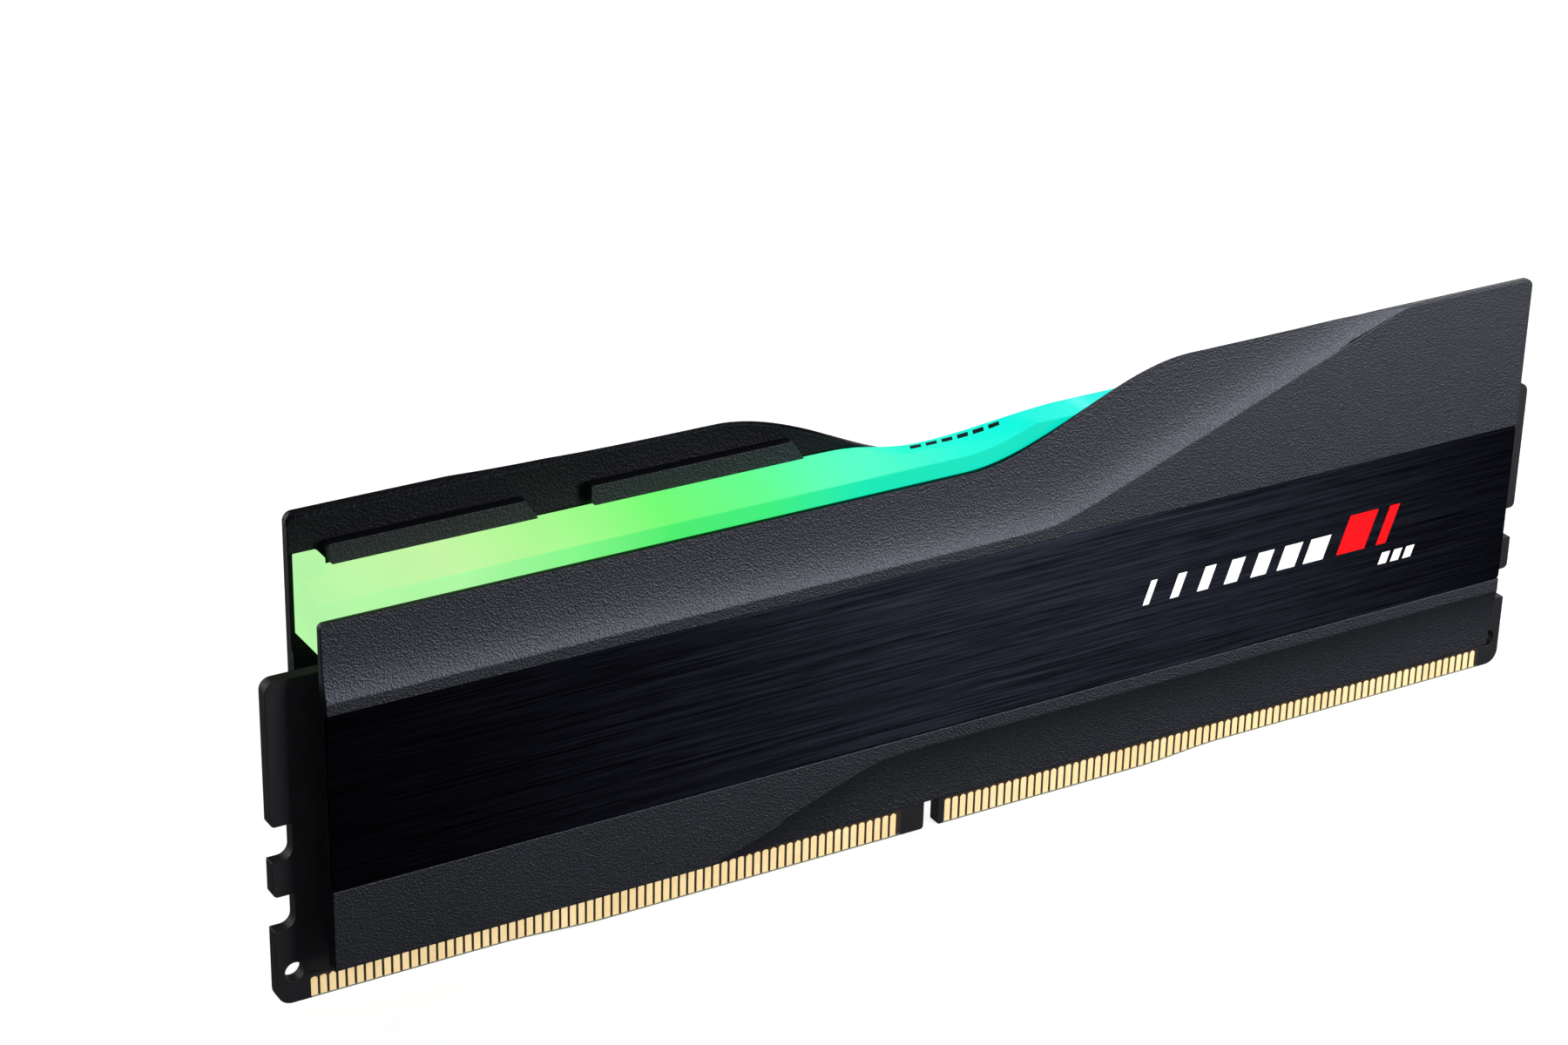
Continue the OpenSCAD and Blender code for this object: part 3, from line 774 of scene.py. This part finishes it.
def board_outline():
    """The board's outline as (x, z) points, from the left blend round to the left end."""
    def latch(low, high):
        inner, lip = 1.0, 0.5
        return ([(HALF_LENGTH, low)]
                + arc(LATCH_WALL + inner, low + inner, inner, 270, 180)
                + [(LATCH_WALL, high)]
                + arc(HALF_LENGTH - lip, high + lip, lip, 270, 360))

    corner, top = 1.4, 1.0
    right = (arc(HALF_LENGTH - corner, EDGE_STEP + corner, corner, 270, 360)
             + latch(*LATCHES[0]) + latch(*LATCHES[1])
             + arc(HALF_LENGTH - top, BOARD_TOP - top, top, 0, 90))
    mouth, half_key = 0.3, KEY_WIDTH / 2
    key = (arc(KEY_X - half_key - mouth, mouth, mouth, 270, 360)
           + arc(KEY_X, KEY_TOP - half_key, half_key, 180, 0, 16)
           + arc(KEY_X + half_key + mouth, mouth, mouth, 180, 270))
    steps = 16
    blends = [[(x, card_edge(x)) for x in
               (start + (end - start) * i / steps for i in range(steps + 1))]
              for start, end in (reversed(LEFT_BLEND), RIGHT_BLEND)]
    left = [(-x, z) for x, z in reversed(right)]
    return blends[0] + key + blends[1] + right + left


def make_board():
    """The bare board: a flat cut-out given its thickness, with the laminate at its edges."""
    mesh = bmesh.new()
    loops = [board_outline()]
    for side in (-1, 1):
        loops.append(arc(side * HOLE_X, HOLE_Z, HOLE_RADIUS, 0, 360, 48)[:-1])
    edges = []
    for loop in loops:
        verts = [mesh.verts.new((x, 0, z)) for x, z in loop]
        edges += [mesh.edges.new((verts[i - 1], verts[i])) for i in range(len(verts))]
    bmesh.ops.triangle_fill(mesh, use_beauty=True, edges=edges, normal=(0, -1, 0))
    board = finish_piece("board", mesh, (MASK, LAMINATE), ("circuit_board",))
    thick = board.modifiers.new("board thickness", "SOLIDIFY")
    thick.thickness = 2 * BOARD_FACE * MM
    thick.offset = 0
    thick.use_even_offset = True
    thick.material_offset_rim = 1
    soft = board.modifiers.new("routed edge", "BEVEL")
    soft.width = 0.05 * MM
    soft.segments = 1
    soft.limit_method = "ANGLE"
    soft.angle_limit = math.radians(60)
    soft.use_clamp_overlap = False
    return board


def make_contacts(node, name):
    """One row of gold contacts, with rounded tops and a pointed one in every three."""
    mesh = bmesh.new()
    tip = 0.2
    for index, (low, high) in enumerate(solids_of(node)):
        middle, half = (low.x + high.x) / 2, (high.x - low.x) / 2
        shoulder = high.z - tip
        if index % 3 == 2:
            top = [(middle + 0.07, high.z), (middle - 0.07, high.z)]
        else:
            top = [(middle + half * math.cos(a), shoulder + tip * math.sin(a))
                   for a in (math.pi * i / 6 for i in range(1, 6))]
        outline = ([(low.x, low.z), (high.x, low.z), (high.x, shoulder)] + top
                   + [(low.x, shoulder)])
        prism(mesh, outline, low.y, high.y)
    contacts = finish_piece(name, mesh, (GOLD,), (node,))
    return round_edges(contacts, 0.015, segments=1, angle=50)


def make_board_marks():
    """Small bare details on the mask: test pads, a ring and a patch of stitching vias."""
    face = -BOARD_FACE
    mesh = bmesh.new()
    for x, z in ((-62.3, 3.3), (-65.9, 18.7), (65.9, 18.7)):
        ring = arc(x, z, 0.42, 0, 360, 24)[:-1]
        hole = arc(x, z, 0.26, 0, 360, 24)[:-1]
        for i in range(len(ring)):
            j = (i + 1) % len(ring)
            prism(mesh, (ring[i], ring[j], hole[j], hole[i]), face - MARK_HEIGHT, face)
    for row in range(7):
        for column in range(2):
            x = 64.7 + 0.5 * column + 0.12 * (row % 2)
            prism(mesh, arc(x, 6.6 + 0.55 * row, 0.13, 0, 360, 10)[:-1], face - MARK_HEIGHT, face)
    for row in range(13):
        prism(mesh, arc(-64.1, 6.4 + 0.55 * row, 0.08, 0, 360, 8)[:-1], face - MARK_HEIGHT, face)
    marks = finish_piece("board_marks", mesh, (MASK,))
    return round_edges(marks, 0.004, segments=1, angle=50)


# ---------------------------------------------------------------- heat spreaders

def spreader_ring(x):
    """One slice across the front spreader, as (y, z) points, outer face first."""
    up, down = upper_line(x), lower_line(x)
    inner = inner_face(x)
    outer = SPREADER_OUT - hollow(top_edge(x) - up, UPPER_HOLLOW, UPPER_FALL)
    facet = min(CHAMFER_IN, 0.6 * (outer - inner))
    top = rim(x, outer - inner)
    rows = [(i / HOLLOW_ROWS) ** HOLLOW_CROWDING for i in range(1, HOLLOW_ROWS + 1)]
    below = [(hollow(share * (down - SPREADER_BOTTOM), LOWER_HOLLOW, LOWER_FALL) - SPREADER_OUT,
              down - share * (down - SPREADER_BOTTOM)) for share in reversed(rows)]
    above = [(hollow(share * (top - up), UPPER_HOLLOW, UPPER_FALL) - SPREADER_OUT,
              up + share * (top - up)) for share in rows]
    channel = [(-SPREADER_OUT, down), (-SPREADER_OUT, CHANNEL_BOTTOM),
               (-CHANNEL_FLOOR, CHANNEL_BOTTOM), (-CHANNEL_FLOOR, CHANNEL_TOP),
               (-SPREADER_OUT, CHANNEL_TOP), (-SPREADER_OUT, up)]
    inside = [(-inner - facet, rim(x, facet)), (-inner, rim(x, 0)),
              (-inner, INNER_STEP[1]), (-INNER_LOW, INNER_STEP[0])]
    return [(-INNER_LOW, SPREADER_BOTTOM)] + below + channel + above + inside


def spreader_weights(x):
    """How much each line along the spreader is rounded, in the order of spreader_ring.

    A line below 0 stays a sharp edge: a crease that has run out into the spreader's rim.
    """
    upper_room = min(1.0, top_edge(x) - upper_line(x) - 0.4)
    lower_room = min(1.0, lower_line(x) - SPREADER_BOTTOM - 0.4)
    below = [1.0] + [0.0] * (HOLLOW_ROWS - 1)
    above = [0.0] * (HOLLOW_ROWS - 1) + [0.5]
    channel = [1.3 * lower_room, 0.9, 0.0, 0.0, 0.9, 1.3 * upper_room]
    inside = [0.5, 0.5, 0.0, 0.0]
    return [0.8] + below + channel + above + inside


def spreader_stations():
    """Places of the slices: close together at the ends and wherever a line turns."""
    ends = (0, 0.05, 0.12, 0.25, 0.4, 0.6, 0.8, 1.2)
    left = [-SPREADER_END + d for d in ends]
    right = [SPREADER_END - d for d in reversed(ends)]
    turning = [-28 + 0.75 * i for i in range(105)]
    return left + [-57 + 4 * i for i in range(8)] + turning + [54, 58] + right


def add_rib(mesh, span):
    """A rib on the inner face of the high side, which holds the light bar down."""
    outline = ((span[0], RIB_BOTTOM), (span[1] - RIB_CUT, RIB_BOTTOM),
               (span[1], RIB_BOTTOM + RIB_RISE), (span[1], RIB_TOP),
               (span[0] + RIB_SLANT, RIB_TOP))
    wall = -INNER_HIGH
    for face in prism(mesh, outline, wall - RIB_ROOT, wall + RIB_DEPTH, weight=1.0):
        face.material_index = 2


def make_spreader(name, node, turned):
    """A heat spreader: the front one, or the same part turned half round for the rear."""
    mesh = bmesh.new()
    points = len(spreader_ring(0))
    loft(mesh, spreader_stations(), spreader_ring, spreader_weights, end_weight=0.8,
         inside=range(points - RIM_LINES, points))
    for span in RIBS:
        add_rib(mesh, span)
    if turned:
        half_turned(mesh)
    # The rim and the inner face take the copy of the coat that is painted darker as painted shade.
    spreader = finish_piece(name, mesh, (COAT, COAT_WITH_PAINTED_SHADE, RIB_COAT), (node,))
    return round_edges(spreader, 0.09, by_weight=True)


# ---------------------------------------------------------------- brushed panels

# Ink strokes on the front panel as (x, z, width, height): a row that grows wider, two red
# ones and a small group below them.
WHITE_STROKES = [(19 + 3.1 * i, 19.5, 0.7 + 0.28 * i, 2.4) for i in range(7)]
RED_STROKES = [(41.6, 19.5, 3.4, 3.9), (46.4, 19.5, 1.2, 3.9)]
SMALL_STROKES = [(46.9 + 1.5 * i, 17.3, 1.0, 1.2) for i in range(3)]
STROKE_LEAN, INK_HEIGHT = 0.35, 0.02


def make_panel(name, node):
    """A thin brushed plate that fills the spreader's channel."""
    low, high = node_box(node)
    corner = 0.35
    outline = []
    for cx, cz, start in ((low.x + corner, low.z + corner, 180),
                          (high.x - corner, low.z + corner, 270),
                          (high.x - corner, high.z - corner, 0),
                          (low.x + corner, high.z - corner, 90)):
        outline += arc(cx, cz, corner, start, start + 90, 6)
    mesh = bmesh.new()
    prism(mesh, outline, low.y, high.y)
    brushing = mesh.loops.layers.uv.new("brushing")
    for face in mesh.faces:
        for loop in face.loops:
            loop[brushing].uv = ((loop.vert.co.z - low.z) / (high.z - low.z),
                                 (loop.vert.co.x - low.x) / (high.x - low.x))
    panel = finish_piece(name, mesh, (BRUSHED,), (node,))
    return round_edges(panel, 0.05, angle=50)


def slanted(x, z, width, height):
    """A slanted stroke's outline, from its lower left corner."""
    shift = STROKE_LEAN * height
    return ((x, z), (x + width, z), (x + width + shift, z + height), (x + shift, z + height))


def make_panel_print(name, finish, strokes):
    """Slanted strokes of ink on the front panel, as (x, z, width, height)."""
    face = node_box("front_brushed_panel")[0].y
    mesh = bmesh.new()
    for stroke in strokes:
        prism(mesh, slanted(*stroke), face - INK_HEIGHT, face)
    ink = finish_piece(name, mesh, (finish,))
    return round_edges(ink, 0.006, segments=1)


# ---------------------------------------------------------------- light bar

def front_ridge(x):
    """Height of the bar's front ridge, which climbs with the spreader as far as the rib."""
    climb = max(FRONT_RIDGE, top_edge(x) + BEVEL_HEIGHT - 0.05)
    return min(FRONT_LIMIT + (UNDER_RIB - FRONT_LIMIT) * between(x, RIB_START), climb)


def rear_ridge(x):
    """Height of the bar's rear ridge, scooped in the middle."""
    return REAR_RIDGE - SCOOP_DEPTH * (between(x, SCOOP_IN) - between(x, SCOOP_OUT))


def bar_ring(x):
    """One slice across the light bar, as (y, z) points, front side first."""
    front = BAR_HALF + (BAR_WIDE - BAR_HALF) * passed(x)
    rear = BAR_HALF + (BAR_WIDE - BAR_HALF) * passed(-x)
    z_front, z_rear = front_ridge(x), rear_ridge(x)
    front_y, rear_y = BEVEL_IN - front, rear - BEVEL_IN
    crease = (rear_y + (CREASE_MIDDLE - rear_y) * between(x, CREASE_DROP)
              + (front_y - CREASE_MIDDLE) * between(x, CREASE_SLIDE))
    crease = max(front_y + CREASE_CLEAR, min(rear_y - CREASE_CLEAR, crease))
    # The left facet is the plane from the front ridge up to the unscooped rear ridge.
    share = (crease - front_y) / (rear_y - front_y)
    plane_rear = max(z_rear, REAR_RIDGE)
    z_crease = z_front + (plane_rear - z_front) * share
    return [(-front, BAR_BOTTOM), (-front, z_front - BEVEL_HEIGHT),
            (front_y, z_front), (crease, z_crease), (rear_y, z_rear),
            (rear, z_rear - BEVEL_HEIGHT), (rear, BAR_BOTTOM)]


def bar_weights(x):
    """How much each line along the bar is rounded, in the order of bar_ring."""
    crease = 0.4 if CREASE_SHOWS[0] < x < CREASE_SHOWS[1] else 0.0
    return [0.4, 0.3, 1.0, crease, 1.0, 0.3, 0.4]


def make_light_bar():
    """The translucent bar, with a raised block beside each high spreader."""
    mesh = bmesh.new()
    middle = [-26 + 0.75 * i for i in range(70)]
    stations = [-BAR_END, -BAR_END + 0.3, -50, -38] + middle + [38, 50, BAR_END - 0.3, BAR_END]
    loft(mesh, stations, bar_ring, bar_weights, end_weight=1.0,
         inside=(SCOOPED_FACET,))
    # Only near the middle does the facet behind the crease keep the copy painted deeper as painted
    # shade.
    for face in mesh.faces:
        if not CREASE_DROP[0] < face.calc_center_median().x < SCOOP_OUT[1]:
            face.material_index = 0
    bottom, edge = REAR_RIDGE - 2, -BAR_END + BLOCK_LENGTH
    outline = ((-BAR_END, bottom), (edge, bottom), (edge, BLOCK_TOP - BLOCK_CHAMFER),
               (edge - BLOCK_CHAMFER, BLOCK_TOP), (-BAR_END, BLOCK_TOP))
    for side in (1, -1):
        depth = sorted((side * (BAR_WIDE - BLOCK_DEPTH), side * BAR_WIDE))
        turned = outline if side > 0 else [(-x, z) for x, z in reversed(outline)]
        prism(mesh, turned, *depth, weight=1.0)
    bar = finish_piece("diffuser_bar", mesh, (DIFFUSER, DIFFUSER_PAINTED_DEEPER),
                       ("light_bar",))
    return round_edges(bar, 0.12, by_weight=True)


def bar_surface(x, y):
    """Height of the light bar's top."""
    ring = bar_ring(x)[2:5]
    for (y0, z0), (y1, z1) in zip(ring, ring[1:]):
        if y <= y1:
            return z0 + (z1 - z0) * (y - y0) / (y1 - y0)
    return ring[-1][1]


def make_bar_print():
    """A few small slanted dashes on the bar's right facet."""
    mesh = bmesh.new()
    dash, gap, y0, y1, lean, above = 1.15, 0.5, 0.75, 1.5, 0.4, 0.012
    for index in range(6):
        x = -4.3 + index * (dash + gap)
        corners = ((x, y0), (x + dash, y0), (x + dash + lean, y1), (x + lean, y1))
        lower = [mesh.verts.new((cx, cy, bar_surface(cx, cy) - 0.03)) for cx, cy in corners]
        upper = [mesh.verts.new((cx, cy, bar_surface(cx, cy) + above)) for cx, cy in corners]
        mesh.faces.new(upper)
        mesh.faces.new(list(reversed(lower)))
        for i in range(4):
            j = (i + 1) % 4
            mesh.faces.new((lower[i], lower[j], upper[j], upper[i]))
    ink = finish_piece("bar_print", mesh, (BLACK_INK,))
    return round_edges(ink, 0.006, segments=1)


# ---------------------------------------------------------------- parts on the board

def make_package(node):
    """A chip: a thin substrate under a moulded body."""
    low, high = node_box(node)
    mesh = bmesh.new()
    step = low.y + 0.28 * (high.y - low.y)
    block(mesh, low, (high.x, step, high.z), material=1)
    inset = 0.12
    block(mesh, (low.x + inset, step, low.z + inset), (high.x - inset, high.y, high.z - inset))
    chip = finish_piece(node + "_package", mesh, (EPOXY, SUBSTRATE), (node,))
    return round_edges(chip, 0.06, segments=2)


def make_capped_parts(node, body, caps):
    """Capacitors or resistors: a body between two tinned ends."""
    mesh = bmesh.new()
    for low, high in solids_of(node):
        upright = high.z - low.z > high.x - low.x
        length = high.z - low.z if upright else high.x - low.x
        cap, inset = 0.22 * length, 0.02
        cuts = (0, cap, length - cap, length)
        for part, (start, end) in enumerate(zip(cuts, cuts[1:])):
            is_body = part == 1
            room = inset if is_body else 0.0
            a, b = low.copy(), high.copy()
            if upright:
                a.z, b.z = low.z + start, low.z + end
                a.x, b.x = a.x + room, b.x - room
            else:
                a.x, b.x = low.x + start, low.x + end
                a.z, b.z = a.z + room, b.z - room
            b.y = high.y - room
            block(mesh, a, b, material=0 if is_body else 1)
    parts = finish_piece(node + "_parts", mesh, (body, caps), (node,))
    return round_edges(parts, 0.04, segments=1)


def make_inductors():
    """Square pressed inductors with a chamfered corner and tinned feet."""
    mesh = bmesh.new()
    for low, high in solids_of("power_inductors"):
        corner = 0.5
        outline = ((low.x, low.z), (high.x, low.z), (high.x, high.z),
                   (low.x + corner, high.z), (low.x, high.z - corner))
        prism(mesh, outline, low.y + 0.12, high.y)
        for z in (low.z + 0.1, high.z - 1.0):
            block(mesh, (low.x + 0.6, low.y, z), (high.x - 0.6, low.y + 0.14, z + 0.9), 1)
    parts = finish_piece("inductor_bodies", mesh, (FERRITE, TIN),
                         ("power_inductors",))
    return round_edges(parts, 0.1, segments=2)


def make_leds():
    """LEDs: a white housing with a raised lens that faces the light bar."""
    mesh = bmesh.new()
    for low, high in solids_of("lighting_leds"):
        block(mesh, low, (high.x, high.y, high.z - 0.25))
        block(mesh, (low.x + 0.35, low.y + 0.18, high.z - 0.3),
              (high.x - 0.35, high.y - 0.18, high.z), 1)
    parts = finish_piece("led_bodies", mesh, (HOUSING, LENS), ("lighting_leds",))
    return round_edges(parts, 0.07, segments=2)


def make_soft_block(node, finish, width):
    """A pad or a strip of tape, with soft edges."""
    mesh = bmesh.new()
    for low, high in solids_of(node):
        block(mesh, low, high)
    pad = finish_piece(node + "_body", mesh, (finish,), (node,))
    return round_edges(pad, width, segments=3)


# ---------------------------------------------------------------- the module

make_board()
make_contacts("front_contacts", "front_contact_row")
make_contacts("rear_contacts", "rear_contact_row")
make_board_marks()

make_spreader("front_spreader", "front_heat_spreader", turned=False)
make_spreader("rear_spreader", "rear_heat_spreader", turned=True)

make_panel("front_panel", "front_brushed_panel")
make_panel("rear_panel", "rear_brushed_panel")
make_panel_print("front_print_white", WHITE_INK, WHITE_STROKES + SMALL_STROKES)
make_panel_print("front_print_red", RED_INK, RED_STROKES)

make_light_bar()
make_bar_print()

for number in range(1, 9):
    make_package(f"memory_chip_{number}")
for chip in ("power_management_chip", "presence_detect_hub", "lighting_controller"):
    make_package(chip)
make_capped_parts("power_capacitors", CERAMIC, TIN)
make_capped_parts("decoupling_capacitors", CERAMIC, TIN)
make_capped_parts("resistor_arrays", GLAZE, TIN)
make_inductors()
make_leds()
for pad in ("left_memory_thermal_pad", "right_memory_thermal_pad", "power_chip_thermal_pad",
            "front_thermal_pad"):
    make_soft_block(pad, SILICONE, 0.12)
for strip in ("front_bar_adhesive", "rear_bar_adhesive"):
    make_soft_block(strip, TAPE, 0.03)
make_soft_block("rear_label", SILVER_FILM, 0.02)


# ---------------------------------------------------------------- floor, light and camera

CAMERA_PLACE = (-166.11, -245.75, 170.59)
CAMERA_TURN, CAMERA_LENS = (31.147, 25.347, 1.35), 84.1


def make_floor():
    """A plain pale floor, just below the card edge."""
    finish, nodes, links = new_finish("pale_floor")

    place = nodes.new("ShaderNodeTexCoord")
    place.label = "place on the floor"
    mottle = nodes.new("ShaderNodeTexNoise")
    mottle.label = "faint mottle"
    shade = nodes.new("ShaderNodeMix")
    shade.label = "pale paper"
    paper = nodes.new("ShaderNodeBsdfPrincipled")
    paper.label = "paper"
    out = nodes.new("ShaderNodeOutputMaterial")
    lay_out(finish.node_tree, place=(place,), tone=(mottle, shade), surface=(paper, out))

    mottle.inputs["Scale"].default_value = 14.0
    shade.data_type = "RGBA"
    shade.inputs["A"].default_value = (0.52, 0.52, 0.53, 1)
    shade.inputs["B"].default_value = (0.56, 0.56, 0.56, 1)
    paper.inputs["Roughness"].default_value = 0.9
    paper.inputs["Specular IOR Level"].default_value = 0.1
    paper.inputs["Emission Color"].default_value = (1, 1, 1, 1)
    paper.inputs["Emission Strength"].default_value = 0.75

    links.new(place.outputs["Object"], mottle.inputs["Vector"])
    links.new(mottle.outputs["Fac"], shade.inputs["Factor"])
    links.new(shade.outputs["Result"], paper.inputs["Base Color"])
    links.new(paper.outputs["BSDF"], out.inputs["Surface"])

    reach, drop = 4.0, -0.00005
    data = bpy.data.meshes.new("floor")
    data.from_pydata([(-reach, -reach, drop), (reach, -reach, drop), (reach, reach, drop),
                      (-reach, reach, drop)], [], [(0, 1, 2, 3)])
    data.materials.append(finish)
    floor = bpy.data.objects.new("floor", data)
    bpy.context.scene.collection.objects.link(floor)
    # The coat and the panels are dark mirrors: like flags in a studio, this keeps the pale
    # floor out of their gloss.
    floor.visible_glossy = False


def add_softbox(name, aim, azimuth, elevation, distance, width, height, radiance):
    """A rectangular soft light aimed at a point, at an azimuth from -Y towards +X."""
    light = bpy.data.lights.new(name, "AREA")
    light.shape = "RECTANGLE"
    light.size, light.size_y = width, height
    light.energy = radiance * math.pi * width * height
    lamp = bpy.data.objects.new(name, light)
    bpy.context.scene.collection.objects.link(lamp)
    turn, rise = math.radians(azimuth), math.radians(elevation)
    away = Vector((math.sin(turn) * math.cos(rise), -math.cos(turn) * math.cos(rise),
                   math.sin(rise)))
    lamp.location = Vector(aim) * MM + away * distance
    lamp.rotation_euler = away.to_track_quat("Z", "Y").to_euler()


def add_camera():
    """The camera, turned by yaw, pitch and roll from a level view along +Y."""
    yaw, pitch, roll = (math.radians(a) for a in CAMERA_TURN)
    forward = Vector((math.sin(yaw) * math.cos(pitch), math.cos(yaw) * math.cos(pitch),
                      -math.sin(pitch)))
    level = Vector((math.cos(yaw), -math.sin(yaw), 0))
    up = level.cross(forward)
    right = level * math.cos(roll) + up * math.sin(roll)
    up = right.cross(forward)
    lens = bpy.data.cameras.new("camera")
    lens.lens, lens.sensor_width = CAMERA_LENS, 36
    lens.clip_start, lens.clip_end = 0.01, 20
    camera = bpy.data.objects.new("camera", lens)
    bpy.context.scene.collection.objects.link(camera)
    camera.matrix_world = Matrix((right, up, -forward)).transposed().to_4x4()
    camera.location = Vector(CAMERA_PLACE) * MM
    bpy.context.scene.camera = camera


def set_world(level):
    world = bpy.data.worlds.new("studio")
    world.use_nodes = True
    world.node_tree.nodes["Background"].inputs["Color"].default_value = (*level, 1)
    bpy.context.scene.world = world


make_floor()
# Narrow upright softboxes: two strong ones at the front right and the rear left, and two
# weak ones that keep the faces readable from the other side.
for name, aim, azimuth, radiance in (("front_softbox", (-10, -4, 24), 34.5, 23.0),
                                     ("rear_softbox", (10, 4, 24), 214.5, 12.0),
                                     ("front_left_softbox", (10, -4, 24), -48, 2.8),
                                     ("rear_right_softbox", (-10, 4, 24), 132, 6.0)):
    add_softbox(name, aim, azimuth, 14, 0.36, 0.10, 0.24, radiance)
add_softbox("overhead", (0, 0, 22), 140, 82, 1.0, 0.9, 0.9, 0.5)
set_world((0.014, 0.0145, 0.016))
add_camera()
bpy.context.scene.view_settings.view_transform = "Standard"
